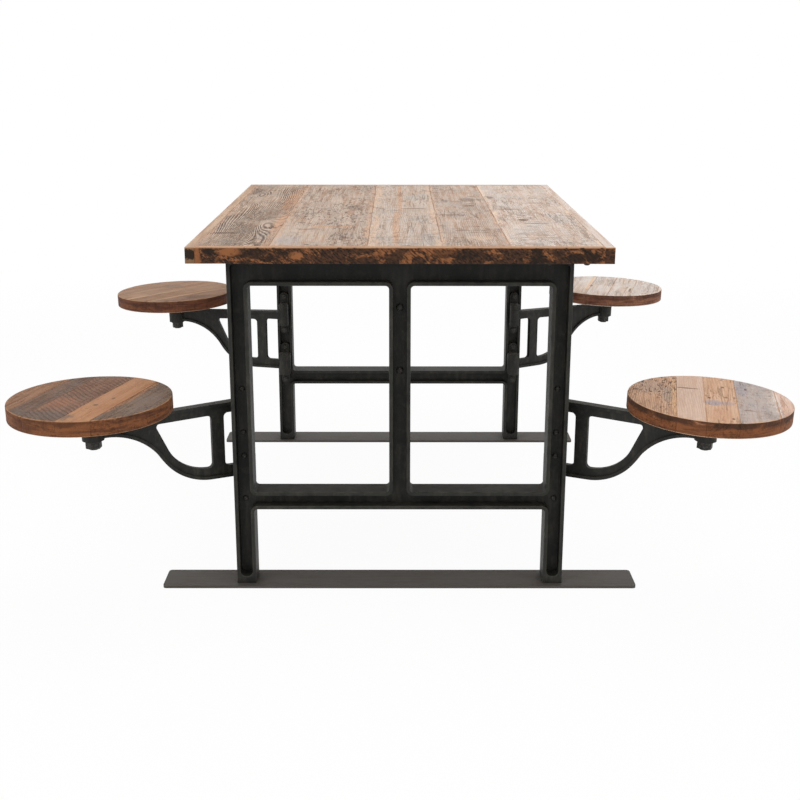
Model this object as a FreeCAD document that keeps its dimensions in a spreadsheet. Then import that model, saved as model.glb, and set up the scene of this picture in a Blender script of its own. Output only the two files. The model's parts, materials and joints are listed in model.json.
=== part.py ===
import FreeCAD, Part
import math
import os

import Sketcher

Vector = FreeCAD.Vector
Placement = FreeCAD.Placement
Rotation = FreeCAD.Rotation

UP = Vector(0, 0, 1)
ALONG = Vector(0, 1, 0)
ACROSS = Vector(1, 0, 0)

# Two ends of an outline nearer than this already meet
SHORTEST_SEGMENT = 0.001

# Rounding of a bolt head's rim as a share of the head's height
HEAD_ROUND_SHARE = 0.85

# Sides of a nut, and screws through each seat's flange
NUT_SIDES = 6
SEAT_SCREW_COUNT = 4

os.makedirs("parts", exist_ok=True)
doc = FreeCAD.newDocument("swing_seat_table")

# Driving sizes in millimetres, angles in degrees, shares without a unit
# The table stands on the floor at z = 0, its length runs along Y and its seats stand out along X
DRIVING_SIZES = [
    # Tabletop of planks in a frame of edge strips
    ("table_height", 770),
    ("top_length", 1200),
    ("top_width", 882),
    ("top_thickness", 34),
    ("edge_strip_width", 20),
    ("batten_width", 70),
    ("batten_thickness", 22),
    ("batten_end_setback", 30),
    ("batten_spread", 520),
    ("batten_screw_diameter", 5),
    ("batten_screw_head_diameter", 10),
    ("batten_screw_head_height", 3),
    ("batten_screw_grip", 18),
    ("edge_screw_head_diameter", 13),
    ("edge_screw_head_height", 4),
    ("edge_screw_diameter", 5),
    ("edge_screw_grip", 20),
    ("edge_screw_side_offset", 385),
    # Cast end frames
    ("frames_span", 1116),
    ("frame_width", 728),
    ("frame_depth", 58),
    ("leg_width", 43),
    ("mullion_width", 46),
    ("top_rail_height", 54),
    ("lower_rail_height", 40),
    ("lower_rail_clearance", 182),
    ("rim_thickness", 8),
    ("web_thickness", 9),
    ("outer_recess_depth", 30),
    ("window_corner_radius", 8),
    ("recess_foot_radius", 12),
    ("foot_pad_height", 16),
    ("casting_edge_radius", 1.5),
    # Foot plates
    ("foot_plate_length", 1058),
    ("foot_plate_width", 88),
    ("foot_plate_thickness", 6),
    ("foot_plate_corner_radius", 8),
    ("foot_bolt_diameter", 8),
    ("foot_bolt_head_diameter", 16),
    ("foot_bolt_head_height", 3),
    ("foot_bolt_grip", 12),
    ("foot_bolt_spacing", 30),
    # Centre stretcher between the two mullions
    ("stretcher_bolt_drop", 105),
    ("stretcher_bolt_spacing", 139),
    ("stretcher_end_margin", 18),
    ("stretcher_end_thickness", 10),
    ("stretcher_beam_height", 116),
    ("stretcher_beam_width", 36),
    ("stretcher_flange_thickness", 8),
    ("stretcher_web_thickness", 10),
    ("stretcher_bolt_diameter", 10),
    # Hinge brackets and pins
    ("hinge_offset", 28),
    ("hinge_spacing", 149),
    ("lower_bracket_drop", 4.2),
    ("bracket_width", 25),
    ("bracket_proud", 2),
    ("bracket_bolt_spacing", 99.6),
    ("bracket_end_margin", 11),
    ("bracket_corner_radius", 10),
    ("bracket_bolt_diameter", 8),
    ("lug_height", 18),
    ("upper_knuckle_radius", 14),
    ("lower_knuckle_radius", 18),
    ("lug_neck_width", 24),
    ("knuckle_height", 26),
    ("knuckle_end_gap", 0.2),
    ("pin_diameter", 12),
    ("pin_running_gap", 0.05),
    ("pin_head_diameter", 19),
    ("pin_head_height", 3),
    ("pin_tail", 3),
    # Swing arms
    ("arm_reach", 341),
    ("arm_web_thickness", 12),
    ("arm_flange_width", 22),
    ("arm_flange_thickness", 7),
    ("arm_bar_depth", 25.5),
    ("arm_top_drop", 13),
    ("strut_start", 54),
    ("strut_width", 28),
    ("window_tip_reach", 209),
    ("arm_window_radius", 10),
    ("arm_window_tip_radius", 7),
    ("brace_bend_start", 87),
    ("brace_outer_radius", 129),
    ("brace_inner_radius", 98),
    ("brace_inner_corner_reach", 156),
    ("brace_end_reach", 315),
    ("boss_diameter", 47),
    ("boss_length", 54),
    ("boss_proud", 17),
    # Seats and their spindles
    ("seat_height", 457.5),
    ("seat_diameter", 342),
    ("seat_thickness", 34.5),
    ("seat_edge_radius", 3),
    ("seat_flange_diameter", 130),
    ("seat_flange_thickness", 5),
    ("seat_screw_circle", 100),
    ("seat_screw_diameter", 5),
    ("seat_screw_head_diameter", 10),
    ("seat_screw_head_height", 3),
    ("seat_screw_grip", 20),
    ("spindle_diameter", 20),
    ("spindle_running_gap", 0.06),
    ("spindle_tail", 3),
    ("spindle_washer_diameter", 38),
    ("spindle_washer_thickness", 2.5),
    ("spindle_nut_across_flats", 30),
    ("spindle_nut_height", 15),
    # Fasteners shared by the castings
    ("bolt_hole_clearance", 0.5),
    ("bolt_head_share", 1.6),
    ("bolt_head_height_share", 0.6),
    ("nut_across_flats_share", 1.6),
    ("nut_height_share", 0.8),
    ("bolt_tail", 2),
    ("top_screw_diameter", 6),
    ("top_screw_head_diameter", 12),
    ("top_screw_head_height", 4),
    ("top_screw_grip", 24),
]

# Each seat by the corner it hangs on: the side of the table along X and the end along Y,
# the degrees its arm is swung at rest from straight out towards its own end of the table,
# the degrees its spindle leans outwards, the degrees its nut is turned,
# the degrees its planks turn from the table's length,
# and its plank joints as shares of the diameter, from the left when looking along the planks
SEATS = {
    "front_left": {
        "side": -1, "end": -1, "swing": 25.9, "tilt": 0.7, "nut_turn": 0,
        "grain": -16, "joint_shares": [0.17, 0.31, 0.55, 0.745],
    },
    "front_right": {
        "side": 1, "end": -1, "swing": 25.9, "tilt": 2.1, "nut_turn": 30,
        "grain": -12, "joint_shares": [0.30, 0.47, 0.66, 0.90],
    },
    "back_left": {
        "side": -1, "end": 1, "swing": 14, "tilt": 1.45, "nut_turn": 0,
        "grain": -45, "joint_shares": [0.26, 0.52, 0.785],
    },
    "back_right": {
        "side": 1, "end": 1, "swing": 30.5, "tilt": 1.45, "nut_turn": 0,
        "grain": -15, "joint_shares": [0.17, 0.38, 0.565, 0.755],
    },
}

# Plank widths as shares of the width between the edge strips, from left to right
TOP_PLANK_SHARES = [0.179, 0.241, 0.184, 0.167, 0.229]

# Places across the frame of the screws into the tabletop, as shares of half its width
TOP_SCREW_SHARES = [-0.86, -0.3, 0.3, 0.86]

# Places across one plank of the two screws from each batten, as shares of the plank's width
BATTEN_SCREW_SHARES = [0.25, 0.75]

sheet = doc.addObject("Spreadsheet::Sheet", "sizes")
for row, (alias, value) in enumerate(DRIVING_SIZES, start=1):
    sheet.set(f"A{row}", alias)
    sheet.set(f"B{row}", str(value))
    sheet.setAlias(f"B{row}", alias)
doc.recompute()


def size(alias):
    """Value of one driving size, read from the sheet."""
    return float(sheet.get(alias))


# Construction shared by the pieces
kept = []


def keep(piece):
    """Mark a finished sub-part to be written out."""
    kept.append(piece)
    return piece


def bind(piece, **expressions):
    """Bind properties of a piece to the sheet; a double underscore stands for a dot."""
    for name, text in expressions.items():
        piece.setExpression(name.replace("__", "."), text)


def rounded_outline(corners):
    """Segments of a closed outline from corners given as (x, y, corner radius)."""
    spots = [Vector(x, y, 0) for x, y, _ in corners]
    runs = []
    for index, (_, _, radius) in enumerate(corners):
        corner = spots[index]
        back = (spots[index - 1] - corner).normalize()
        ahead = (spots[(index + 1) % len(spots)] - corner).normalize()
        if radius == 0:
            runs.append((corner, corner, None))
            continue
        half = back.getAngle(ahead) / 2
        reach = radius / math.tan(half)
        middle = (back + ahead).normalize()
        deepest = corner + middle * (radius / math.sin(half) - radius)
        start, end = corner + back * reach, corner + ahead * reach
        runs.append((start, end, Part.Arc(start, deepest, end)))
    segments = []
    for index, (start, end, arc) in enumerate(runs):
        if arc is not None:
            segments.append(arc)
        following = runs[(index + 1) % len(runs)][0]
        if not following.isEqual(end, SHORTEST_SEGMENT):
            segments.append(Part.LineSegment(end, following))
    return segments


def rectangle(left, bottom, right, top, radius=0):
    """Corners of an upright rectangle with equal corner radii."""
    return [(left, bottom, radius), (right, bottom, radius), (right, top, radius), (left, top, radius)]


def origin_plane(body, role):
    """One of the three origin planes of a body."""
    return next(plane for plane in body.Origin.OriginFeatures if plane.Role == role)


def draw(body, name, role, outlines=(), circles=(), offset=Placement()):
    """Sketch on an origin plane; circles are (x, y, diameter as an expression)."""
    sketch = body.newObject("Sketcher::SketchObject", f"{body.Name}_{name}")
    sketch.AttachmentSupport = [(origin_plane(body, role), "")]
    sketch.MapMode = "FlatFace"
    sketch.AttachmentOffset = offset
    for corners in outlines:
        for segment in rounded_outline(corners):
            sketch.addGeometry(segment)
    for x, y, diameter in circles:
        width = float(sketch.evalExpression(diameter))
        index = sketch.addGeometry(Part.Circle(Vector(x, y, 0), UP, width / 2))
        rule = sketch.addConstraint(Sketcher.Constraint("Diameter", index, width))
        sketch.setExpression(f"Constraints[{rule}]", diameter)
    return sketch


def pad(body, sketch, length, symmetric=False, backwards=False):
    """Add the sketch's outline, raised by a length bound to the sheet."""
    feature = body.newObject("PartDesign::Pad", f"{sketch.Name}_pad")
    feature.Profile = sketch
    feature.SideType = "Symmetric" if symmetric else "One side"
    feature.Reversed = backwards
    bind(feature, Length=length)
    return feature


def pocket(body, sketch, length=None, backwards=False, symmetric=False):
    """Cut the sketch's outline to a bound depth, or right through when no length is given."""
    doc.recompute()
    before = body.Shape.Volume
    feature = body.newObject("PartDesign::Pocket", f"{sketch.Name}_pocket")
    feature.Profile = sketch
    feature.SideType = "Symmetric" if symmetric else "One side"
    feature.Reversed = backwards
    if length is None:
        feature.Type = "ThroughAll"
    else:
        bind(feature, Length=length)
    doc.recompute()
    if not feature.Shape.Volume < before:
        raise RuntimeError(f"{feature.Name} cuts nothing")
    return feature


def box(label, length, width, height, x, y, z):
    """Rectangular board; every size and place is an expression on the sheet."""
    board = doc.addObject("Part::Box", label)
    board.Label = label
    bind(board, Length=length, Width=width, Height=height)
    bind(board, Placement__Base__x=x, Placement__Base__y=y, Placement__Base__z=z)
    return board


def group(label, shapes, placement=Placement()):
    """Node of several separate solids."""
    piece = doc.addObject("Part::Feature", label)
    piece.Label = label
    piece.Shape = Part.makeCompound(shapes)
    piece.Placement = placement
    return piece


def turned(corners):
    """Solid of revolution about Z from an outline given as (radius, height, corner radius)."""
    segments = [segment.toShape() for segment in rounded_outline(corners)]
    face = Part.Face(Part.Wire(Part.__sortEdges__(segments)))
    face.rotate(Vector(), ACROSS, 90)
    return face.revolve(Vector(), UP, 360)


def bolt(diameter, shank, head_diameter, head_height, at, direction):
    """Round-headed bolt whose head bears on the point given and whose shank runs along direction."""
    shape = turned([
        (0, -head_height, 0),
        (head_diameter / 2, -head_height, head_height * HEAD_ROUND_SHARE),
        (head_diameter / 2, 0, 0),
        (diameter / 2, 0, 0),
        (diameter / 2, shank, 0),
        (0, shank, 0),
    ])
    shape.Placement = Placement(at, Rotation(UP, direction))
    return shape


def nut(bore, across_flats, height, at, direction):
    """Hexagonal nut that bears on the point given and stands along direction."""
    corner = across_flats / math.sqrt(3)
    turns = [math.tau * step / NUT_SIDES for step in range(NUT_SIDES + 1)]
    rim = [Vector(corner * math.cos(turn), corner * math.sin(turn), 0) for turn in turns]
    shape = Part.Face(Part.makePolygon(rim)).extrude(UP * height)
    shape = shape.cut(Part.makeCylinder(bore / 2, height))
    shape.Placement = Placement(at, Rotation(UP, direction))
    return shape


# Places that several pieces share
half_width = size("frame_width") / 2
half_span = size("frames_span") / 2
leg_centre = half_width - size("leg_width") / 2
under_top = size("table_height") - size("top_thickness")
hinge_side = leg_centre
hinge_end = half_span - size("frame_depth") - size("hinge_offset")
boss_top_height = size("seat_height") - size("seat_thickness") - size("seat_flange_thickness")
arm_end_height = boss_top_height - size("boss_proud")
upper_hinge_height = arm_end_height + size("arm_top_drop") - size("knuckle_height") / 2
lower_hinge_height = upper_hinge_height - size("hinge_spacing")
lower_plate_height = lower_hinge_height - size("lower_bracket_drop")
bracket_bolt_heights = [
    plate + step * size("bracket_bolt_spacing") / 2
    for plate in (upper_hinge_height, lower_plate_height)
    for step in (-1, 1)
]
stretcher_bolt_heights = [
    under_top - size("stretcher_bolt_drop") - step * size("stretcher_bolt_spacing") for step in (1, 0)
]


def frame_placement(end):
    """Frame's own axes at one end of the table: Y = 0 is its inner face and -Y points outwards."""
    turn = Rotation(UP, 0 if end < 0 else 180)
    return Placement(Vector(0, end * (half_span - size("frame_depth")), 0), turn)


END_NAMES = {-1: "front", 1: "back"}


# Tabletop: planks along the length, held in strips that go round the edge
board_width = "(sizes.top_width - 2 * sizes.edge_strip_width)"
board_length = "(sizes.top_length - 2 * sizes.edge_strip_width)"
board_base = "sizes.table_height - sizes.top_thickness"
batten_base = board_base + " - sizes.batten_thickness"
batten_length = board_width + " - 2 * sizes.batten_end_setback"

plank_starts = [sum(TOP_PLANK_SHARES[:index]) for index in range(len(TOP_PLANK_SHARES))]
board_span = size("top_width") - 2 * size("edge_strip_width")
batten_rows = [-size("batten_spread") / 2, size("batten_spread") / 2]
batten_screw_spots = [
    Vector((start + share * place - 1 / 2) * board_span, row, under_top - size("batten_thickness"))
    for row in batten_rows
    for start, share in zip(plank_starts, TOP_PLANK_SHARES)
    for place in BATTEN_SCREW_SHARES
]
top_screw_row = half_span - size("outer_recess_depth") / 2
top_screw_spots = [
    Vector(share * half_width, end * top_screw_row, under_top - size("rim_thickness"))
    for end in END_NAMES
    for share in TOP_SCREW_SHARES
]
edge_screw_row = (size("top_length") - size("edge_strip_width")) / 2
edge_screw_spots = [
    Vector(-end * size("edge_screw_side_offset"), end * edge_screw_row, under_top)
    for end in END_NAMES
]
batten_screw_shank = size("batten_thickness") + size("batten_screw_grip")
top_screw_shank = size("rim_thickness") + size("top_screw_grip")

screw_bores = group("screw_bores", [
    Part.makeCylinder(size("batten_screw_diameter") / 2, batten_screw_shank, spot)
    for spot in batten_screw_spots
] + [
    Part.makeCylinder(size("top_screw_diameter") / 2, top_screw_shank, spot)
    for spot in top_screw_spots
] + [
    Part.makeCylinder(size("edge_screw_diameter") / 2, size("edge_screw_grip"), spot)
    for spot in edge_screw_spots
])


def bored(label, board):
    """The board with its screw holes."""
    cut = doc.addObject("Part::Cut", label)
    cut.Label = label
    cut.Base = board
    cut.Tool = screw_bores
    return keep(cut)


for index, (start, share) in enumerate(zip(plank_starts, TOP_PLANK_SHARES), start=1):
    bored(f"top_plank_{index}", box(
        f"top_plank_{index}_blank",
        f"{board_width} * {share}", board_length, "sizes.top_thickness",
        f"{board_width} * {start - 1 / 2}", f"-{board_length} / 2", board_base,
    ))

for name, side in (("left", -1), ("right", 1)):
    keep(box(
        f"top_edge_{name}",
        "sizes.edge_strip_width", "sizes.top_length", "sizes.top_thickness",
        f"{side} * (sizes.top_width - sizes.edge_strip_width) / 2 - sizes.edge_strip_width / 2",
        "-sizes.top_length / 2", board_base,
    ))

for end, name in END_NAMES.items():
    bored(f"top_edge_{name}", box(
        f"top_edge_{name}_blank",
        board_width, "sizes.edge_strip_width", "sizes.top_thickness",
        f"-{board_width} / 2",
        f"{end} * (sizes.top_length - sizes.edge_strip_width) / 2 - sizes.edge_strip_width / 2", board_base,
    ))
    bored(f"top_batten_{name}", box(
        f"top_batten_{name}_blank",
        batten_length, "sizes.batten_width", "sizes.batten_thickness",
        f"-({batten_length}) / 2", f"{end} * sizes.batten_spread / 2 - sizes.batten_width / 2", batten_base,
    ))

keep(group("batten_screws", [
    bolt(
        size("batten_screw_diameter"), batten_screw_shank,
        size("batten_screw_head_diameter"), size("batten_screw_head_height"), spot, UP,
    )
    for spot in batten_screw_spots
]))
keep(group("top_screws", [
    bolt(
        size("top_screw_diameter"), top_screw_shank,
        size("top_screw_head_diameter"), size("top_screw_head_height"), spot, UP,
    )
    for spot in top_screw_spots
]))
keep(group("edge_screws", [
    bolt(
        size("edge_screw_diameter"), size("edge_screw_grip"),
        size("edge_screw_head_diameter"), size("edge_screw_head_height"), spot, UP,
    )
    for spot in edge_screw_spots
]))


# End frames: one casting each, a web with a rim on both faces all round its two windows
def window_outline(side, grow=0):
    """One window of the frame, grown on all sides by the rim where the recess goes round it."""
    inner = size("mullion_width") / 2 - grow
    outer = half_width - size("leg_width") + grow
    low = size("lower_rail_clearance") + size("lower_rail_height") - grow
    high = under_top - size("top_rail_height") + grow
    left, right = (inner, outer) if side > 0 else (-outer, -inner)
    return rectangle(left, low, right, high, size("window_corner_radius") + grow)


def frame_outline(inset=0, foot=0, foot_radius=0, gap_radius=0, top_radius=0):
    """Outside of the frame with the gap between its feet, shrunk by an inset."""
    outer = half_width - inset
    inner = half_width - size("leg_width") + inset
    high = under_top - inset
    gap = size("lower_rail_clearance") + inset
    right_half = [
        (outer, foot, foot_radius),
        (outer, high, top_radius),
    ]
    left_half = [(-x, y, radius) for x, y, radius in reversed(right_half)]
    arch = [
        (-inner, foot, foot_radius),
        (-inner, gap, gap_radius),
        (inner, gap, gap_radius),
        (inner, foot, foot_radius),
    ]
    return right_half + left_half + arch


def end_frame(end):
    """One cast end frame."""
    body = doc.addObject("PartDesign::Body", f"end_frame_{END_NAMES[end]}")
    corner = size("window_corner_radius")
    rim = size("rim_thickness")
    foot = size("foot_plate_thickness")
    outside = frame_outline(foot=foot, gap_radius=corner)
    windows = [window_outline(side) for side in (-1, 1)]
    pad(body, draw(body, "outline", "XZ_Plane", [outside] + windows), "sizes.frame_depth")
    recess = frame_outline(
        inset=rim, foot=foot + size("foot_pad_height"), foot_radius=size("recess_foot_radius"),
        gap_radius=corner + rim, top_radius=corner,
    )
    islands = [window_outline(side, rim) for side in (-1, 1)]
    outer_face = Placement(UP * size("frame_depth"), Rotation())
    outer_recess = draw(body, "outer_recess", "XZ_Plane", [recess] + islands, offset=outer_face)
    pocket(body, outer_recess, "sizes.outer_recess_depth")
    inner_recess = draw(body, "inner_recess", "XZ_Plane", [recess] + islands)
    inner_depth = "sizes.frame_depth - sizes.web_thickness - sizes.outer_recess_depth"
    pocket(body, inner_recess, inner_depth, backwards=True)
    bracket_bore = "sizes.bracket_bolt_diameter + sizes.bolt_hole_clearance"
    stretcher_bore = "sizes.stretcher_bolt_diameter + sizes.bolt_hole_clearance"
    bolt_circles = [(side * leg_centre, z, bracket_bore) for side in (-1, 1) for z in bracket_bolt_heights]
    bolt_circles += [(0, z, stretcher_bore) for z in stretcher_bolt_heights]
    pocket(body, draw(body, "bolt_holes", "XZ_Plane", circles=bolt_circles, offset=outer_face))
    screw_line = -(size("frame_depth") - size("outer_recess_depth") / 2)
    screw_bore = "sizes.top_screw_diameter + sizes.bolt_hole_clearance"
    screw_circles = [(share * half_width, screw_line, screw_bore) for share in TOP_SCREW_SHARES]
    top_face = Placement(UP * under_top, Rotation())
    screw_holes = draw(body, "screw_holes", "XY_Plane", circles=screw_circles, offset=top_face)
    pocket(body, screw_holes, "sizes.rim_thickness")
    foot_rows = [(step * size("foot_bolt_spacing") - size("frame_depth")) / 2 for step in (-1, 1)]
    foot_circles = [
        (side * leg_centre, row, "sizes.foot_bolt_diameter") for side in (-1, 1) for row in foot_rows
    ]
    foot_face = Placement(UP * foot, Rotation())
    foot_holes = draw(body, "foot_holes", "XY_Plane", circles=foot_circles, offset=foot_face)
    last = pocket(body, foot_holes, "sizes.foot_bolt_grip", backwards=True)
    round_rims(body, last)
    body.Placement = frame_placement(end)
    return keep(body)


def round_rims(body, last):
    """Soft cast edge along every rim of the frame's two open faces."""
    faces = (0, -size("frame_depth"))
    names = []
    for index, edge in enumerate(last.Shape.Edges, start=1):
        bounds = edge.BoundBox
        flat = bounds.YLength < SHORTEST_SEGMENT
        if flat and any(abs(bounds.YMin - face) < SHORTEST_SEGMENT for face in faces):
            names.append(f"Edge{index}")
    fillet = body.newObject("PartDesign::Fillet", f"{body.Name}_soft_edges")
    fillet.Base = (last, names)
    bind(fillet, Radius="sizes.casting_edge_radius")


def foot_plate(end):
    """Flat steel plate under the two feet of one frame, with counterbored bolt holes."""
    body = doc.addObject("PartDesign::Body", f"foot_plate_{END_NAMES[end]}")
    half_length = size("foot_plate_length") / 2
    half_plate = size("foot_plate_width") / 2
    outline = rectangle(-half_length, -half_plate, half_length, half_plate, size("foot_plate_corner_radius"))
    pad(body, draw(body, "outline", "XY_Plane", [outline]), "sizes.foot_plate_thickness")
    spots = [(side * leg_centre, row * size("foot_bolt_spacing") / 2) for side in (-1, 1) for row in (-1, 1)]
    bore = "sizes.foot_bolt_diameter + sizes.bolt_hole_clearance"
    head = "sizes.foot_bolt_head_diameter + sizes.bolt_hole_clearance"
    holes = draw(body, "holes", "XY_Plane", circles=[(x, y, bore) for x, y in spots])
    pocket(body, holes, backwards=True)
    seats = draw(body, "head_seats", "XY_Plane", circles=[(x, y, head) for x, y in spots])
    pocket(body, seats, "sizes.foot_bolt_head_height + sizes.bolt_hole_clearance", backwards=True)
    body.Placement = Placement(ALONG * end * (half_span - size("frame_depth") / 2), Rotation())
    return keep(body)


for end in END_NAMES:
    end_frame(end)
    foot_plate(end)

keep(group("foot_bolts", [
    bolt(
        size("foot_bolt_diameter"),
        size("foot_plate_thickness") + size("foot_bolt_grip")
        - size("foot_bolt_head_height") - size("bolt_hole_clearance"),
        size("foot_bolt_head_diameter"), size("foot_bolt_head_height"),
        Vector(
            side * leg_centre,
            end * (half_span - size("frame_depth") / 2) + row * size("foot_bolt_spacing") / 2,
            size("foot_bolt_head_height") + size("bolt_hole_clearance"),
        ),
        UP,
    )
    for end in END_NAMES
    for side in (-1, 1)
    for row in (-1, 1)
]))


# Centre stretcher: a beam with a flange plate at each end, bolted to the two mullions
def stretcher():
    """Beam of I section between the frames' inner faces."""
    body = doc.addObject("PartDesign::Body", "centre_stretcher")
    reach = half_span - size("frame_depth")
    middle = sum(stretcher_bolt_heights) / 2
    half_beam = size("stretcher_beam_height") / 2
    flange = size("stretcher_beam_width") / 2
    web = size("stretcher_web_thickness") / 2
    thick = size("stretcher_flange_thickness")
    upper_right = [
        (flange, middle + half_beam, 0),
        (flange, middle + half_beam - thick, 0),
        (web, middle + half_beam - thick, thick),
    ]
    lower_right = [(x, 2 * middle - z, radius) for x, z, radius in reversed(upper_right)]
    right = upper_right + lower_right
    left = [(-x, z, radius) for x, z, radius in reversed(right)]
    beam = draw(body, "beam", "XZ_Plane", [right + left])
    pad(body, beam, "sizes.frames_span - 2 * sizes.frame_depth", symmetric=True)
    margin = size("stretcher_end_margin")
    half_plate = size("mullion_width") / 2
    plate = rectangle(
        -half_plate, stretcher_bolt_heights[0] - margin, half_plate, stretcher_bolt_heights[1] + margin,
        size("window_corner_radius"),
    )
    for name, place in (("front_plate", reach), ("back_plate", -reach)):
        sketch = draw(body, name, "XZ_Plane", [plate], offset=Placement(UP * place, Rotation()))
        pad(body, sketch, "sizes.stretcher_end_thickness", backwards=place > 0)
    bore = "sizes.stretcher_bolt_diameter + sizes.bolt_hole_clearance"
    holes = draw(body, "bolt_holes", "XZ_Plane", circles=[(0, z, bore) for z in stretcher_bolt_heights])
    pocket(body, holes, "sizes.frames_span", symmetric=True)
    return keep(body)


stretcher()


def through_bolts(label, diameter_alias, spots, bolted_depth):
    """Bolts through the frame's web from the outer recess, with a nut on the inner end of each."""
    diameter = size(diameter_alias)
    nut_height = diameter * size("nut_height_share")
    outer_web = size("outer_recess_depth") - size("frame_depth")
    bolts, nuts = [], []
    for end in END_NAMES:
        place = frame_placement(end)
        inwards = place.Rotation.multVec(ALONG)
        for x, z in spots:
            seat = place.multVec(Vector(x, outer_web, z))
            bolts.append(bolt(
                diameter, bolted_depth + nut_height + size("bolt_tail"),
                diameter * size("bolt_head_share"), diameter * size("bolt_head_height_share"),
                seat, inwards,
            ))
            nuts.append(nut(
                diameter, diameter * size("nut_across_flats_share"), nut_height,
                seat + inwards * bolted_depth, inwards,
            ))
    keep(group(f"{label}_bolts", bolts))
    keep(group(f"{label}_nuts", nuts))


web_and_inner_recess = size("frame_depth") - size("outer_recess_depth")
through_bolts(
    "stretcher", "stretcher_bolt_diameter", [(0, z) for z in stretcher_bolt_heights],
    web_and_inner_recess + size("stretcher_end_thickness"),
)
through_bolts(
    "bracket", "bracket_bolt_diameter",
    [(side * leg_centre, z) for side in (-1, 1) for z in bracket_bolt_heights],
    web_and_inner_recess + size("bracket_proud"),
)


# Hinges: two brackets on each leg, with a pin through the lugs of each
half_stack = size("knuckle_height") / 2 + size("knuckle_end_gap") + size("lug_height")


def hinge_bracket(label, radius_alias, drop, side, end, height):
    """Bracket whose foot fills the leg's inner recess; its own Z axis is the hinge axis."""
    body = doc.addObject("PartDesign::Body", label)
    foot_face = size("hinge_offset") - size("bracket_proud")
    half_foot = size("bracket_width") / 2
    half_plate = size("bracket_bolt_spacing") / 2 + size("bracket_end_margin")
    foot = rectangle(
        -half_foot, -drop - half_plate, half_foot, half_plate - drop, size("bracket_corner_radius"),
    )
    on_face = Placement(UP * -foot_face, Rotation())
    foot_sketch = draw(body, "foot", "XZ_Plane", [foot], offset=on_face)
    foot_depth = (
        "sizes.frame_depth - sizes.web_thickness - sizes.outer_recess_depth + sizes.bracket_proud"
    )
    pad(body, foot_sketch, foot_depth, backwards=True)
    radius = size(radius_alias)
    stack_height = "sizes.knuckle_height + 2 * (sizes.knuckle_end_gap + sizes.lug_height)"
    eye = draw(body, "eye", "XY_Plane", circles=[(0, 0, f"2 * sizes.{radius_alias}")])
    pad(body, eye, stack_height, symmetric=True)
    half_neck = size("lug_neck_width") / 2
    neck = draw(body, "neck", "XY_Plane", [rectangle(-half_neck, 0, half_neck, foot_face)])
    pad(body, neck, stack_height, symmetric=True)
    slot = draw(body, "knuckle_gap", "XY_Plane", [rectangle(-2 * radius, -2 * radius, 2 * radius, foot_face)])
    pocket(body, slot, "sizes.knuckle_height + 2 * sizes.knuckle_end_gap", symmetric=True)
    bore = draw(body, "pin_bore", "XY_Plane", circles=[(0, 0, "sizes.pin_diameter")])
    pocket(body, bore, stack_height, symmetric=True)
    bolt_bore = "sizes.bracket_bolt_diameter + sizes.bolt_hole_clearance"
    spots = [(0, step * size("bracket_bolt_spacing") / 2 - drop, bolt_bore) for step in (-1, 1)]
    bolt_holes = draw(body, "bolt_holes", "XZ_Plane", circles=spots, offset=on_face)
    pocket(body, bolt_holes, backwards=False)
    body.Placement = Placement(
        Vector(side * hinge_side, end * hinge_end, height), Rotation(UP, 0 if end > 0 else 180),
    )
    return keep(body)


# Swing arms: a flat web with a flange along its top edge and its curved lower edge
def arm_direction(seat):
    """Degrees from +X in which an arm points at rest."""
    swing = seat["swing"] * seat["end"]
    return swing if seat["side"] > 0 else 180 - swing


def arm_placement(seat):
    """Arm's own axes: its hinge axis is Z and it reaches along X, with the floor at Z = 0."""
    foot = Vector(seat["side"] * hinge_side, seat["end"] * hinge_end, 0)
    return Placement(foot, Rotation(UP, arm_direction(seat)))


def arm_top(reach):
    """Height of the arm's top edge, which falls evenly towards the seat."""
    return arm_end_height + size("arm_top_drop") * (1 - reach / size("arm_reach"))


# The lower brace is two tangent arcs: up from the lower hinge, then level again under the seat
arm_bottom = lower_hinge_height - size("knuckle_height") / 2
brace_end_height = boss_top_height - size("boss_length") + size("arm_flange_thickness") / 2
brace_rise = brace_end_height - arm_bottom
brace_run = size("brace_end_reach") - size("brace_bend_start")
brace_half_turn = math.atan2(brace_rise, brace_run)
brace_end_radius = brace_run / math.sin(2 * brace_half_turn) - size("brace_outer_radius")


def brace_line(depth):
    """Corners of the brace's curved edge, a depth inside its outer edge."""
    rise_radius = size("brace_outer_radius") - depth
    level_radius = brace_end_radius + depth
    rise_corner = size("brace_bend_start") + rise_radius * math.tan(brace_half_turn)
    level_corner = size("brace_end_reach") - level_radius * math.tan(brace_half_turn)
    return [
        (rise_corner, arm_bottom + depth, rise_radius),
        (level_corner, brace_end_height + depth, level_radius),
    ]


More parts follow.
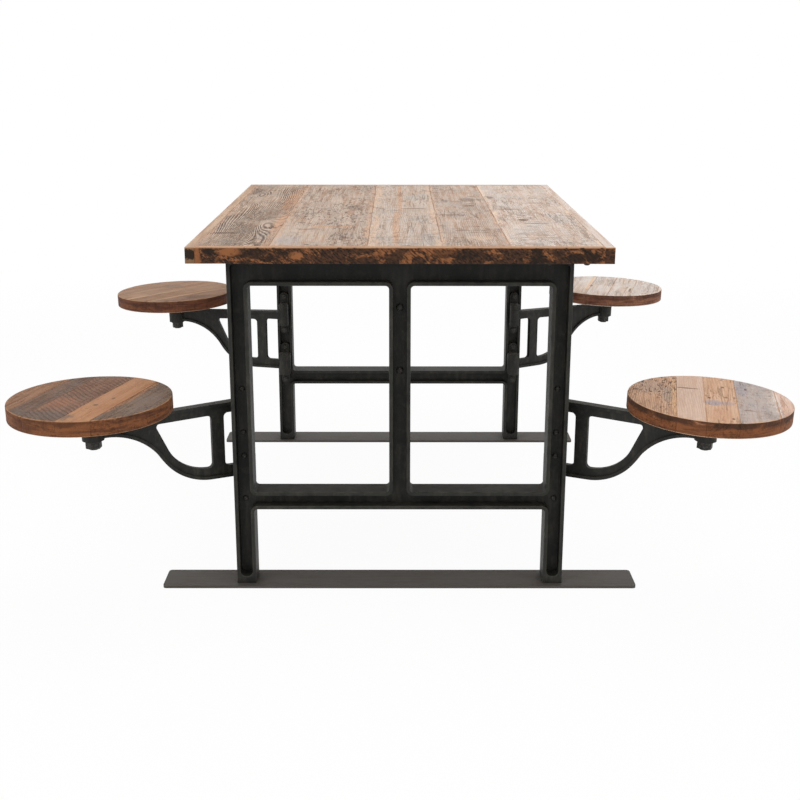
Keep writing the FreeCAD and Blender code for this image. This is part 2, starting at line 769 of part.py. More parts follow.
def swing_arm(name, seat):
    """Cast arm with two knuckles, an upright strut, a window and a boss for the seat's spindle."""
    body = doc.addObject("PartDesign::Body", f"swing_arm_{name}")
    reach = size("arm_reach")
    knuckle = size("knuckle_height")
    corner = size("arm_window_radius")
    upper_base = upper_hinge_height - knuckle / 2
    strut_end = size("strut_start") + size("strut_width")
    tip = size("window_tip_reach")
    bar = size("arm_bar_depth")
    outline = [(0, arm_bottom, 0)] + brace_line(0) + [
        (reach, brace_end_height, 0),
        (reach, arm_top(reach), 0),
        (0, arm_top(0), 0),
        (0, upper_base, 0),
        (size("strut_start"), upper_base, corner),
        (size("strut_start"), arm_bottom + knuckle, corner),
        (0, arm_bottom + knuckle, 0),
    ]
    window = [
        (strut_end, arm_bottom + bar, corner),
        (size("brace_inner_corner_reach"), arm_bottom + bar, size("brace_inner_radius")),
        (tip, arm_top(tip) - bar, size("arm_window_tip_radius")),
        (strut_end, arm_top(strut_end) - bar, corner),
    ]
    pad(body, draw(body, "web", "XZ_Plane", [outline, window]), "sizes.arm_web_thickness", symmetric=True)
    thick = size("arm_flange_thickness")
    start = size("upper_knuckle_radius") / 2
    top_flange = [
        (start, arm_top(start), 0),
        (reach, arm_top(reach), 0),
        (reach, arm_top(reach) - thick, 0),
        (start, arm_top(start) - thick, 0),
    ]
    pad(body, draw(body, "top_flange", "XZ_Plane", [top_flange]), "sizes.arm_flange_width", symmetric=True)
    start = size("lower_knuckle_radius") / 2
    low_flange = (
        [(start, arm_bottom, 0)] + brace_line(0) + [(reach, brace_end_height, 0)]
        + [(reach, brace_end_height + thick, 0)] + brace_line(thick)[::-1] + [(start, arm_bottom + thick, 0)]
    )
    pad(body, draw(body, "low_flange", "XZ_Plane", [low_flange]), "sizes.arm_flange_width", symmetric=True)
    for level, height in (("upper", upper_base), ("lower", arm_bottom)):
        base = Placement(UP * height, Rotation())
        circle = (0, 0, f"2 * sizes.{level}_knuckle_radius")
        eye = draw(body, f"{level}_knuckle", "XY_Plane", circles=[circle], offset=base)
        pad(body, eye, "sizes.knuckle_height")
    boss_top = Placement(Vector(reach, 0, boss_top_height), Rotation(ALONG, seat["tilt"]))
    boss = draw(body, "boss", "XY_Plane", circles=[(0, 0, "sizes.boss_diameter")], offset=boss_top)
    pad(body, boss, "sizes.boss_length", backwards=True)
    spindle_bore = (0, 0, "sizes.spindle_diameter + 2 * sizes.spindle_running_gap")
    pocket(body, draw(body, "spindle_bore", "XY_Plane", circles=[spindle_bore], offset=boss_top))
    pin_bore = (0, 0, "sizes.pin_diameter + 2 * sizes.pin_running_gap")
    knuckle_top = Placement(UP * (upper_base + knuckle), Rotation())
    pocket(body, draw(body, "pin_bore", "XY_Plane", circles=[pin_bore], offset=knuckle_top))
    body.Placement = arm_placement(seat)
    return keep(body)


# Seats: a round board of planks on a flanged spindle that turns in the arm's boss
seat_base = size("seat_flange_thickness")
seat_screw_turns = [math.tau * (step + 1 / 2) / SEAT_SCREW_COUNT for step in range(SEAT_SCREW_COUNT)]
seat_screw_spots = [
    Vector(math.cos(turn), math.sin(turn), 0) * (size("seat_screw_circle") / 2) for turn in seat_screw_turns
]
seat_screw_shank = seat_base + size("seat_screw_grip")


def seat_placement(seat):
    """Seat's own axes: Z is the spindle axis, with Z = 0 on top of the arm's boss."""
    boss_top = Vector(size("arm_reach"), 0, boss_top_height)
    return arm_placement(seat).multiply(Placement(boss_top, Rotation(ALONG, seat["tilt"])))


def seat_board(name, seat):
    """Round seat cut from planks laid side by side."""
    radius = size("seat_diameter") / 2
    top = seat_base + size("seat_thickness")
    soft = size("seat_edge_radius")
    disc = turned([(0, seat_base, 0), (radius, seat_base, soft), (radius, top, soft), (0, top, 0)])
    for spot in seat_screw_spots:
        disc = disc.cut(Part.makeCylinder(size("seat_screw_diameter") / 2, seat_screw_shank, spot))
    turn = Rotation(UP, seat["grain"] - arm_direction(seat))
    joints = [0] + seat["joint_shares"] + [1]
    planks = []
    for left, right in zip(joints, joints[1:]):
        width = (right - left) * 2 * radius
        slab = Part.makeBox(width, 2 * radius, top, Vector((2 * left - 1) * radius, -radius, 0))
        slab.Placement = Placement(Vector(), turn).multiply(slab.Placement)
        planks += disc.common(slab).Solids
    return keep(group(f"seat_planks_{name}", planks, seat_placement(seat)))


def seat_spindle(name, seat):
    """Round flange plate under the seat, forged in one with the spindle."""
    body = doc.addObject("PartDesign::Body", f"seat_spindle_{name}")
    flange = draw(body, "flange", "XY_Plane", circles=[(0, 0, "sizes.seat_flange_diameter")])
    pad(body, flange, "sizes.seat_flange_thickness")
    stem = draw(body, "stem", "XY_Plane", circles=[(0, 0, "sizes.spindle_diameter")])
    stem_length = (
        "sizes.boss_length + sizes.spindle_washer_thickness + sizes.spindle_nut_height + sizes.spindle_tail"
    )
    pad(body, stem, stem_length, backwards=True)
    circles = [(spot.x, spot.y, "sizes.seat_screw_diameter") for spot in seat_screw_spots]
    screw_holes = draw(body, "screw_holes", "XY_Plane", circles=circles)
    pocket(body, screw_holes, "sizes.seat_flange_thickness", backwards=True)
    body.Placement = seat_placement(seat)
    return keep(body)


def spindle_nut(name, seat):
    """Washer and nut that hold the spindle up against the underside of the boss."""
    washer = size("spindle_washer_thickness")
    spindle = size("spindle_diameter")
    ring = Part.makeCylinder(size("spindle_washer_diameter") / 2, washer)
    ring = ring.cut(Part.makeCylinder(spindle / 2, washer))
    washer_base = UP * -(size("boss_length") + washer)
    ring.translate(washer_base)
    hexagon = nut(
        spindle, size("spindle_nut_across_flats"), size("spindle_nut_height"), washer_base, -UP,
    )
    hexagon.rotate(Vector(), UP, seat["nut_turn"])
    return keep(group(f"spindle_nut_{name}", [ring, hexagon], seat_placement(seat)))


def seat_screws(name, seat):
    """Four screws up through the flange into the seat."""
    screws = [
        bolt(
            size("seat_screw_diameter"), seat_screw_shank,
            size("seat_screw_head_diameter"), size("seat_screw_head_height"), spot, UP,
        )
        for spot in seat_screw_spots
    ]
    return keep(group(f"seat_screws_{name}", screws, seat_placement(seat)))


def hinge_pins(name, seat):
    """Headed pin of each of the arm's two hinges, dropped in from above."""
    place = Vector(seat["side"] * hinge_side, seat["end"] * hinge_end, 0)
    pins = [
        bolt(
            size("pin_diameter"), 2 * half_stack + size("pin_tail"),
            size("pin_head_diameter"), size("pin_head_height"), place + UP * (height + half_stack), -UP,
        )
        for height in (upper_hinge_height, lower_hinge_height)
    ]
    return keep(group(f"hinge_pins_{name}", pins))


for name, seat in SEATS.items():
    side, end = seat["side"], seat["end"]
    hinge_bracket(
        f"upper_bracket_{name}", "upper_knuckle_radius", 0, side, end, upper_hinge_height,
    )
    hinge_bracket(
        f"lower_bracket_{name}", "lower_knuckle_radius", size("lower_bracket_drop"),
        side, end, lower_hinge_height,
    )
    hinge_pins(name, seat)
    swing_arm(name, seat)
    seat_board(name, seat)
    seat_spindle(name, seat)
    spindle_nut(name, seat)
    seat_screws(name, seat)


# Checks before anything is written
doc.recompute()
for piece in doc.Objects:
    if "Invalid" in piece.State or "Error" in piece.State:
        raise RuntimeError(f"{piece.Label} failed to build")
for piece in kept:
    if piece.Shape.isNull() or not piece.Shape.isValid() or not piece.Shape.Solids:
        raise RuntimeError(f"{piece.Label} has no sound shape")
    piece.Shape.exportStep(f"parts/{piece.Label}.step")
print(len(kept), "sub-parts written")
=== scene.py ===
import json
import math

import bmesh
import bpy
from mathutils import Matrix, Vector


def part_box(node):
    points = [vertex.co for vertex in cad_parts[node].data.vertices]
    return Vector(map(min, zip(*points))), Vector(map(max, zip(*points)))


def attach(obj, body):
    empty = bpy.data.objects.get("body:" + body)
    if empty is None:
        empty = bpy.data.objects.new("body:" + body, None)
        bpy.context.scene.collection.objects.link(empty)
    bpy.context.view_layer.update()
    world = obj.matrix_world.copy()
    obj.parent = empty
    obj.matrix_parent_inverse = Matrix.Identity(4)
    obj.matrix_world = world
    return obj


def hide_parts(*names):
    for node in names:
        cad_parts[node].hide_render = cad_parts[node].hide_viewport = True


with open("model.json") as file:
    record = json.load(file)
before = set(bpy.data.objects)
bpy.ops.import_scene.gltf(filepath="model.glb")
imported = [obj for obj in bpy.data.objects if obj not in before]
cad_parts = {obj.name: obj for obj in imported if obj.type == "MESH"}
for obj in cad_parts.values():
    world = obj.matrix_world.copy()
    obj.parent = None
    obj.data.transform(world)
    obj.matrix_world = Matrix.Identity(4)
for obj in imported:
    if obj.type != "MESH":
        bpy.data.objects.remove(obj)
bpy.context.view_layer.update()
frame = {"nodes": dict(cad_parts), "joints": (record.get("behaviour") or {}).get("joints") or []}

# Tabletop planks
# Five reclaimed boards along the table, sawn on a coarse blade and left grey-tan, screwed to two
# battens from below. Their joints are worn, and each board has its own grain and colour.
BOARD_ROUNDING = 0.0003
BOARD_STEP = 0.035
BOARD_UNEVENNESS = 0.0004
UNEVEN_PATCH = 0.07
SMOOTH_ANGLE = math.radians(40)
WOOD_ROUGHNESS = 0.7
WOOD_RELIEF = 0.0018
WOOD_SHEEN = 0.15
# Each board is cut from the wood pattern this far above the one before
BOARD_LAYER = 0.4
# Patches of a wood pattern per metre: across the board, along it and through its thickness
BROAD_PATCH = (17, 8, 17)
LONG_STREAK = (110, 5, 110)
FINE_FIBRE = (520, 22, 520)
SHORT_MOTTLE = (170, 34, 170)


def picture_colour(red, green, blue):
    """A colour named as picture values from 0 to 255, turned into the shader's linear values."""
    shares = (red / 255, green / 255, blue / 255)
    linear = [
        share / 12.92 if share < 0.04045 else ((share + 0.055) / 1.055) ** 2.4 for share in shares
    ]
    return (*linear, 1)


class Value:
    """A shader value, so that a mask or a pattern is written as plain arithmetic."""

    def __init__(self, recipe, socket):
        self.recipe = recipe
        self.socket = socket

    def __add__(self, other):
        return self.recipe.maths("ADD", self, other)

    __radd__ = __add__

    def __sub__(self, other):
        return self.recipe.maths("SUBTRACT", self, other)

    def __rsub__(self, other):
        return self.recipe.maths("SUBTRACT", other, self)

    def __mul__(self, other):
        return self.recipe.maths("MULTIPLY", self, other)

    __rmul__ = __mul__

    def __abs__(self):
        return self.recipe.maths("ABSOLUTE", self, 0)

    def at_most(self, other):
        return self.recipe.maths("MINIMUM", self, other)

    def at_least(self, other):
        return self.recipe.maths("MAXIMUM", self, other)

    def rise(self, start, end):
        """0 before start and 1 past end, with a soft step between; start may be the larger."""
        low, high = min(start, end), max(start, end)
        inputs = {0: self, 1: low, 2: high, 3: int(start > end), 4: int(start < end)}
        return self.recipe.make("ShaderNodeMapRange", {"interpolation_type": "SMOOTHSTEP"}, inputs)


class Recipe:
    """The nodes of one finish, or of the air round the table, every one of them added by make()."""

    def __init__(self, owner):
        owner.use_nodes = True
        self.tree = owner.node_tree
        self.tree.nodes.clear()

    def make(self, kind, settings, inputs, output=0):
        """Any node: its settings first, then the values or links of its sockets."""
        node = self.tree.nodes.new(kind)
        for name, value in settings.items():
            setattr(node, name, value)
        for name, value in inputs.items():
            if isinstance(value, Value):
                self.tree.links.new(value.socket, node.inputs[name])
            else:
                node.inputs[name].default_value = value
        if node.outputs:
            return Value(self, node.outputs[output])

    def maths(self, operation, first, second=0):
        """One step of shader arithmetic."""
        return self.make("ShaderNodeMath", {"operation": operation}, {0: first, 1: second})

    def show(self, shader, kind="ShaderNodeOutputMaterial"):
        """Join a shader to what is seen: a surface, or the air."""
        self.make(kind, {}, {"Surface": shader})


class Finish(Recipe):
    """One material, whose patterns are made on the piece's own coordinates, turned along its grain."""

    def __init__(self, name, turn=0, centre=(0, 0), layer=0):
        self.material = bpy.data.materials.new(name)
        super().__init__(self.material)
        self.own = self.make("ShaderNodeTexCoord", {}, {}, "Object")
        self.normal = self.make("ShaderNodeTexCoord", {}, {}, "Normal")
        back = math.radians(-turn)
        middle = Matrix.Rotation(back, 3, "Z") @ Vector((*centre, 0))
        shift = (-middle.x, -middle.y, layer)
        inputs = {"Vector": self.own, "Rotation": (0, 0, back), "Location": shift}
        self.place = self.make("ShaderNodeMapping", {}, inputs)

    def part(self, vector, axis):
        """One coordinate of a vector: 0 across, 1 along, 2 up."""
        return self.make("ShaderNodeSeparateXYZ", {}, {0: vector}, axis)

    def noise(self, stretch, detail=4, roughness=0.55, warp=0, vector=None):
        """Noise from 0 to 1 whose patches are 1/stretch metres along each axis."""
        scaled = self.make("ShaderNodeMapping", {}, {"Vector": vector or self.place, "Scale": stretch})
        inputs = {
            "Vector": scaled, "Scale": 1, "Detail": detail, "Roughness": roughness, "Distortion": warp,
        }
        return self.make("ShaderNodeTexNoise", {"noise_dimensions": "3D"}, inputs)

    def mix(self, first, second, share):
        """A colour between two colours."""
        return self.make("ShaderNodeMix", {"data_type": "RGBA"}, {0: share, 6: first, 7: second}, 2)

    def coat(self, colour, roughness, height, depth, sheen):
        """Join colour, roughness and relief to the surface."""
        bump = self.make("ShaderNodeBump", {}, {"Height": height, "Distance": depth, "Strength": 1})
        inputs = {
            "Base Color": colour, "Roughness": roughness, "Normal": bump, "Specular IOR Level": sheen,
        }
        self.show(self.make("ShaderNodeBsdfPrincipled", {}, inputs))


def board_tones(pale, tan, grey, dark, **marks):
    """A board's four colours, given as picture values, with the strengths and places of its marks."""
    colours = {"pale": pale, "tan": tan, "grey": grey, "dark": dark}
    return {name: picture_colour(*values) for name, values in colours.items()} | marks


def near(wood, across, along, wide, long):
    """How far the surface is from one spot, in units of the spot's own half sizes."""
    x = (wood.part(wood.place, 0) - across) * (1 / wide)
    y = (wood.part(wood.place, 1) - along) * (1 / long)
    return wood.maths("SQRT", x * x + y * y)


def worm_lines(wood, stretch, width, warp=1.1):
    """Thin wandering lines where a noise crosses its middle."""
    return abs(wood.noise(stretch, detail=3, roughness=0.6, warp=warp) - 0.5).rise(width, width * 0.3)


def old_wood(
    name, turn=0, centre=(0, 0), layer=0, pale=None, tan=None, grey=None, dark=None, stained=None,
    saw=0.5, saw_gap=0.026, slant=0, cracks=0.5, rings=0.5, ring_gap=0.0045, dents=0.6, cross=0.4,
    arches=(), spots=(), edge=None, side=None,
):
    """Reclaimed board: streaked grain with grey patches and stains, then spots of their own colour,
    then dark rings, dents, saw marks and cracks. Spots are given as place across and along, half
    width, half length, colour and strength. Arches, which the rings go round, are place and reach."""
    wood = Finish(name, turn, centre, layer)
    x = wood.part(wood.place, 0)
    y = wood.part(wood.place, 1)
    patch = wood.noise(BROAD_PATCH, detail=5)
    streak = wood.noise(LONG_STREAK, detail=6, roughness=0.65, warp=0.4)
    fibre = wood.noise(FINE_FIBRE, detail=3)
    mottle = wood.noise(SHORT_MOTTLE, detail=4, roughness=0.65, warp=0.8)
    colour = wood.mix(pale, tan, streak.rise(0.42, 0.62))
    colour = wood.mix(colour, grey, patch.rise(0.44, 0.64) * 0.7)
    stain = wood.noise(BROAD_PATCH, detail=7, roughness=0.7, warp=1.2).rise(0.54, 0.68)
    colour = wood.mix(colour, stained, stain * 0.6)
    wobble = wood.noise((60, 32, 60), detail=6, roughness=0.7) * 2 - 1
    for *spot, tone, strength in spots:
        colour = wood.mix(colour, tone, (near(wood, *spot) + wobble * 0.9).rise(1.3, 0.7) * strength)
    count = x * (1 / ring_gap) + wood.noise((7, 1.5, 7), detail=2, roughness=0.4) * 16 + streak * 0.6
    for across, along, reach in arches:
        bend = near(wood, across, along, reach, reach * 5).rise(1, 0)
        count = count + bend * reach * (0.9 / ring_gap)
    ring = wood.maths("PINGPONG", count, 0.5).rise(0.32, 0.14) * (mottle.rise(0.34, 0.56) * 0.5 + 0.5)
    ring = ring * (wood.noise((16, 6, 16), detail=4).rise(0.36, 0.56) * 0.7 + 0.3) * rings
    wave = wood.maths("PINGPONG", (y + x * slant) * (1 / saw_gap) + mottle * 0.3 + patch * 2, 0.5)
    marks = (wood.noise((13, 7, 13), detail=3).rise(0.44, 0.58) + (saw - 0.4)).at_least(0).at_most(1)
    marks = wave.rise(0.24, 0.4) * marks * saw
    crack = abs(wood.noise((52, 2.6, 52), detail=6, warp=0.5) - 0.5).rise(0.02, 0.004)
    crack = crack * wood.noise((9, 5, 9), detail=3).rise(0.48, 0.58) * cracks
    split = abs(wood.noise((5, 26, 5), detail=4, roughness=0.6, warp=0.4) - 0.5).rise(0.035, 0.008)
    split = split * wood.noise((15, 8, 15), detail=3).rise(0.54, 0.64) * cross
    worms = worm_lines(wood, (90, 30, 90), 0.05) * wood.noise((150, 42, 150), detail=2).rise(0.48, 0.6)
    pits = wood.noise((170, 40, 170), detail=3, warp=0.8).rise(0.62, 0.7)
    dent = worms.at_least(pits) * wood.noise((10, 5, 10), detail=3).rise(0.42, 0.56) * dents
    shade = (mottle.rise(0.5, 0.72) * 0.3).at_least(fibre.rise(0.56, 0.74) * 0.35)
    shade = shade.at_least(marks * 0.6).at_least(ring * 0.85).at_least(dent * 0.8)
    colour = wood.mix(colour, dark, shade.at_least(crack * 0.9).at_least(split * 0.8))
    if edge is not None:
        colour = edge(wood, colour, mottle)
    if side is not None:
        colour = side(wood, colour, streak)
    height = streak * 0.35 + fibre * 0.2 + patch * 0.4 - marks * 0.4
    height = height - ring * 0.5 - dent * 0.9 - crack - split
    wood.coat(colour, WOOD_ROUGHNESS - patch * 0.1 + crack * 0.2, height, WOOD_RELIEF, WOOD_SHEEN)
    return wood.material


def select_nothing():
    """Leave nothing selected, so that the next operator acts on its own piece alone."""
    bpy.ops.object.select_all(action="DESELECT")


def own_mesh(name):
    """Name the active piece and put its place into its mesh."""
    piece = bpy.context.object
    piece.name = name
    piece.data.name = name
    bpy.ops.object.transform_apply(location=True, rotation=True, scale=True)
    return piece


def dress(piece, material, body, slot, *nodes):
    """Give a piece its material and its body, and hide the nodes that it stands for. The slot is not
    used.
    """
    piece.data.materials.clear()
    piece.data.materials.append(material)
    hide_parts(*nodes)
    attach(piece, body)


def wear(piece):
    """Press a soft unevenness into the active piece and smooth its gentle edges."""
    texture = bpy.data.textures.new(f"{piece.name}_wear", "CLOUDS")
    texture.noise_scale = UNEVEN_PATCH
    texture.noise_depth = 2
    modifier = piece.modifiers.new("wear", "DISPLACE")
    modifier.texture = texture
    modifier.texture_coords = "LOCAL"
    modifier.strength = BOARD_UNEVENNESS
    modifier.mid_level = 1
    bpy.ops.object.modifier_apply(modifier=modifier.name)
    bpy.ops.object.shade_smooth_by_angle(angle=SMOOTH_ANGLE)


def board(name, low, high, along=1):
    """Board between two corners, its edges rounded, cut into steps along and across, and worn."""
    select_nothing()
    bpy.ops.mesh.primitive_cube_add(size=1, location=(low + high) / 2, scale=high - low)
    piece = own_mesh(name)
    bpy.ops.object.mode_set(mode="EDIT")
    bpy.ops.mesh.select_all(action="SELECT")
    bpy.ops.mesh.bevel(offset=BOARD_ROUNDING, segments=3, affect="EDGES")
    for cut_along in (along, 1 - along):
        steps = int((high - low)[cut_along] / BOARD_STEP)
        direction = Vector((0, 0, 0))
        direction[cut_along] = 1
        for step in range(1, steps):
            bpy.ops.mesh.select_all(action="SELECT")
            bpy.ops.mesh.bisect(plane_co=low + (high - low) * step / steps, plane_no=direction)
    bpy.ops.object.mode_set(mode="OBJECT")
    wear(piece)
    return piece


SEAM_WIDTH = 0.0024
SEAM_BROWN = picture_colour(150, 112, 84)


def worn_joints(low, high, left_band, right_band, sapwood):
    """Sapwood along a board's two long edges, in bands of their own widths, and thin brown seams."""
    def edge(wood, colour, mottle):
        x = wood.part(wood.own, 0)
        wander = wood.noise((14, 12, 14), detail=6, roughness=0.65) * 0.03 - 0.015
        left = (x + wander).rise(low + left_band, low + left_band * 0.5)
        right = (x + wander).rise(high - right_band, high - right_band * 0.5)
        band = (left + right).at_most(1) * mottle.rise(0.62, 0.44)
        worn = wood.noise((24, 5, 24), detail=4).rise(0.3, 0.48)
        colour = wood.mix(colour, sapwood, band * worn * 0.9)
        gap = x.rise(low + SEAM_WIDTH, low + SEAM_WIDTH / 3)
        gap = gap + x.rise(high - SEAM_WIDTH, high - SEAM_WIDTH / 3)
        broken = wood.noise((30, 7, 30), detail=3).rise(0.4, 0.56)
        return wood.mix(colour, SEAM_BROWN, gap * broken * 0.6)
    return edge


KNOT_BROWN = picture_colour(112, 90, 74)
RUSTY_TAN = picture_colour(192, 148, 116)
TOP_BOARDS = {
    "top_plank_1": board_tones(
        (186, 164, 146), (164, 136, 114), (158, 146, 134), (70, 50, 40),
        stained=picture_colour(168, 134, 110), rings=1.1, ring_gap=0.005, dents=0.6, saw=0.2,
        arches=((-0.331, -0.62, 0.055), (-0.32, -0.24, 0.06), (-0.39, 0.32, 0.05)),
        spots=(
            (-0.39, -0.396, 0.028, 0.012, KNOT_BROWN, 0.8),
            (-0.423, -0.025, 0.014, 0.02, KNOT_BROWN, 0.5),
            (-0.43, 0.458, 0.02, 0.03, KNOT_BROWN, 0.5), (-0.288, 0.2, 0.016, 0.2, RUSTY_TAN, 0.9),
            (-0.279, -0.22, 0.012, 0.12, RUSTY_TAN, 0.7),
        ),
        joint=(0.01, 0.022, picture_colour(180, 144, 120)),
    ),
    "top_plank_2": board_tones(
        (188, 168, 152), (166, 136, 114), (168, 154, 142), (78, 56, 43),
        stained=picture_colour(174, 138, 112), rings=0.3, dents=1.0, saw=0.3, cross=0.7,
        spots=(
            (-0.115, 0.04, 0.02, 0.05, KNOT_BROWN, 0.5), (-0.145, -0.292, 0.05, 0.02, RUSTY_TAN, 0.5),
            (-0.24, -0.5, 0.03, 0.06, picture_colour(168, 160, 156), 0.6),
        ),
        joint=(0.016, 0.014, picture_colour(190, 156, 132)),
    ),
    "top_plank_3": board_tones(
        (192, 176, 163), (178, 154, 136), (174, 165, 158), (98, 74, 58),
        stained=picture_colour(184, 150, 124), rings=0.3, dents=0.5, saw=0.4, cross=0.8,
        spots=(
            (0.002, 0.3, 0.006, 0.34, RUSTY_TAN, 0.7), (-0.008, -0.3, 0.008, 0.34, RUSTY_TAN, 0.6),
            (0.036, 0.034, 0.03, 0.007, KNOT_BROWN, 0.8),
            (0.03, 0.0, 0.03, 0.03, picture_colour(176, 156, 134), 0.5),
        ),
        joint=(0.026, 0.016, picture_colour(200, 170, 146)),
    ),
    "top_plank_4": board_tones(
        (192, 173, 159), (172, 144, 124), (166, 155, 146), (90, 66, 50),
        stained=picture_colour(176, 140, 116), rings=0.45, dents=0.7, cross=0.8,
        spots=(
            (0.18, 0.22, 0.02, 0.04, KNOT_BROWN, 0.6), (0.177, 0.09, 0.014, 0.014, KNOT_BROWN, 0.8),
            (0.12, -0.089, 0.05, 0.007, KNOT_BROWN, 0.8),
            (0.172, -0.47, 0.03, 0.03, picture_colour(206, 180, 158), 0.6),
        ),
        joint=(0.01, 0.008, picture_colour(194, 162, 138)),
    ),
    "top_plank_5": board_tones(
        (205, 190, 179), (192, 168, 151), (189, 180, 173), (108, 84, 67),
        stained=picture_colour(193, 162, 140), rings=0.35, dents=0.7, cross=0.7,
        spots=(
            (0.243, 0.275, 0.012, 0.03, KNOT_BROWN, 0.7), (0.279, 0.024, 0.03, 0.009, KNOT_BROWN, 0.7),
            (0.293, -0.179, 0.012, 0.016, KNOT_BROWN, 0.9),
            (0.32, -0.236, 0.03, 0.007, KNOT_BROWN, 0.7),
        ),
        joint=(0.012, 0.006, picture_colour(214, 188, 166)),
    ),
}

for count, (node, tones) in enumerate(TOP_BOARDS.items()):
    low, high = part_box(node)
    plank = board(f"{node}_board", low, high)
    edge = worn_joints(low.x, high.x, *tones.pop("joint"))
    finish = old_wood(f"{node}_wood", layer=BOARD_LAYER * count, edge=edge, **tones)
    dress(plank, finish, "base", "top_wood", node)

# Edge strips
# Narrow strips of the same old wood that frame the planks, near-black and weathered on their
# outer faces, with the top arris rubbed back to light orange wood.
STRIP_BLACK = picture_colour(34, 27, 22)
STRIP_BROWN = picture_colour(84, 56, 40)
STRIP_RUST = picture_colour(152, 98, 62)
STRIP_PALE = picture_colour(150, 116, 86)
STRIP_ARRIS = picture_colour(184, 136, 100)
STRIP_ROUGHNESS = 0.78
STRIP_RELIEF = 0.0016
STRIP_LAYER = 0.83
SAW_STROKE_TURN = (math.radians(-40), 0, math.radians(8))
ARRIS_START = 0.003
ARRIS_END = 0.0008
# Marks on a strip's front: place across, height, half width, half height, colour and strength
STRIP_MARKS = {
    "left": (
        (-0.431, 0.752, 0.03, 0.03, STRIP_PALE, 0.7), (-0.4305, 0.756, 0.012, 0.009, STRIP_BLACK, 0.95),
    ),
    "front": (
        (-0.416, 0.753, 0.007, 0.02, STRIP_RUST, 0.8), (-0.39, 0.762, 0.02, 0.006, STRIP_BLACK, 0.8),
        (-0.35, 0.76, 0.022, 0.008, STRIP_RUST, 0.9), (-0.213, 0.752, 0.013, 0.007, STRIP_RUST, 1),
        (-0.28, 0.754, 0.05, 0.014, STRIP_BLACK, 0.5), (0.28, 0.752, 0.022, 0.016, STRIP_BLACK, 0.8),
        (0.38, 0.75, 0.034, 0.01, STRIP_BLACK, 0.7), (0.1, 0.756, 0.05, 0.01, STRIP_BLACK, 0.5),
    ),
}
STRIP_TOPS = {
    "left": (picture_colour(184, 158, 136), picture_colour(162, 132, 110)),
    "right": (picture_colour(202, 187, 177), picture_colour(184, 162, 146)),
    "front": (picture_colour(182, 146, 118), picture_colour(158, 120, 92)),
    "back": (picture_colour(186, 162, 142), picture_colour(160, 132, 110)),
}


def strip_finish(name, turn, layer, top, marks, upper, upper_streak):
    """Dark weathered strip: slanted saw strokes, burnt and rusty blotches, marks in places of their
    own on what faces the front, a worn upper arris and a streaked upper face."""
    strip = Finish(name, turn, layer=layer)
    streak = strip.noise((90, 4, 90), detail=6, roughness=0.7, warp=0.5)
    slant = strip.make("ShaderNodeMapping", {}, {"Vector": strip.place, "Rotation": SAW_STROKE_TURN})
    hatch = strip.noise((60, 90, 420), detail=4, roughness=0.7, warp=0.3, vector=slant)
    blotch = strip.noise((26, 22, 34), detail=7, roughness=0.68, warp=1.1)
    speck = strip.noise((180, 150, 240), detail=4, roughness=0.7, warp=0.6)
    zone = strip.noise((5, 5, 5), detail=2)
    fibre = strip.noise((520, 20, 520), detail=3)
    colour = strip.mix(STRIP_BLACK, STRIP_BROWN, (hatch * 0.65 + speck * 0.35).rise(0.42, 0.58))
    rusty = (blotch + zone * 0.5 + speck * 0.24).rise(0.86, 0.98)
    colour = strip.mix(colour, STRIP_RUST, rusty * (hatch.rise(0.4, 0.54) * 0.85 + 0.1))
    colour = strip.mix(colour, STRIP_PALE, (blotch * 0.7 + speck * 0.3).rise(0.62, 0.67) * 0.6)
    colour = strip.mix(colour, STRIP_BLACK, (blotch * 0.6 + speck * 0.4).rise(0.42, 0.35) * 0.9)
    x = strip.part(strip.own, 0)
    z = strip.part(strip.own, 2)
    for across, height, wide, tall, tone, strength in marks:
        across = (x - across) * (1 / wide)
        height = (z - height) * (1 / tall)
        reach = strip.maths("SQRT", across * across + height * height) + blotch * 3 + speck * 1.6 - 2.3
        front = strip.part(strip.normal, 1).rise(-0.8, -0.95)
        colour = strip.mix(colour, tone, reach.rise(1.25, 0.75) * front * strength)
    rubbed = strip.noise((60, 60, 60), detail=4).rise(0.3, 0.46)
    colour = strip.mix(colour, STRIP_ARRIS, z.rise(top - ARRIS_START, top - ARRIS_END) * rubbed)
    face_up = strip.part(strip.normal, 2).rise(0.5, 0.85)
    shown = strip.mix(upper, upper_streak, streak.rise(0.42, 0.6))
    shown = strip.mix(shown, STRIP_BROWN, speck.rise(0.6, 0.72) * 0.3)
    colour = strip.mix(colour, shown, face_up)
    height = streak * 0.5 + fibre * 0.3 + hatch * 0.3 + blotch * 0.4
    strip.coat(colour, STRIP_ROUGHNESS - streak * 0.1, height, STRIP_RELIEF, WOOD_SHEEN)
    return strip.material


for count, side in enumerate(("left", "right", "front", "back")):
    node = f"top_edge_{side}"
    low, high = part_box(node)
    along = 1 if side in ("left", "right") else 0
    strip = board(f"{node}_strip", low, high, along)
    turn = 0 if along == 1 else 90
    marks = STRIP_MARKS.get(side, ())
    finish = strip_finish(f"{node}_wood", turn, count * STRIP_LAYER, high.z, marks, *STRIP_TOPS[side])
    dress(strip, finish, "base", "edge_wood", node)

# Seats
# Round boards of reclaimed planks glued side by side, sawn round and softened at the rims,
# each seat from another wood, lying on the steel flange of its spindle.
SEAT_FLANGE = 0.005
SEAT_JOINT = 0.0002
SEAT_RIM = 0.003
SEAT_SIDES = 128
SEAT_RADIUS = 0.171
SEAT_THICKNESS = 0.0345
SEAT_SEAM = 0.0018
SEAT_LAYER = 1.7
SEAT_PLANK_LAYER = 0.31
HOLE = picture_colour(104, 76, 60)
BLUE_GREY = picture_colour(160, 150, 154)
WHITISH = picture_colour(236, 220, 210)

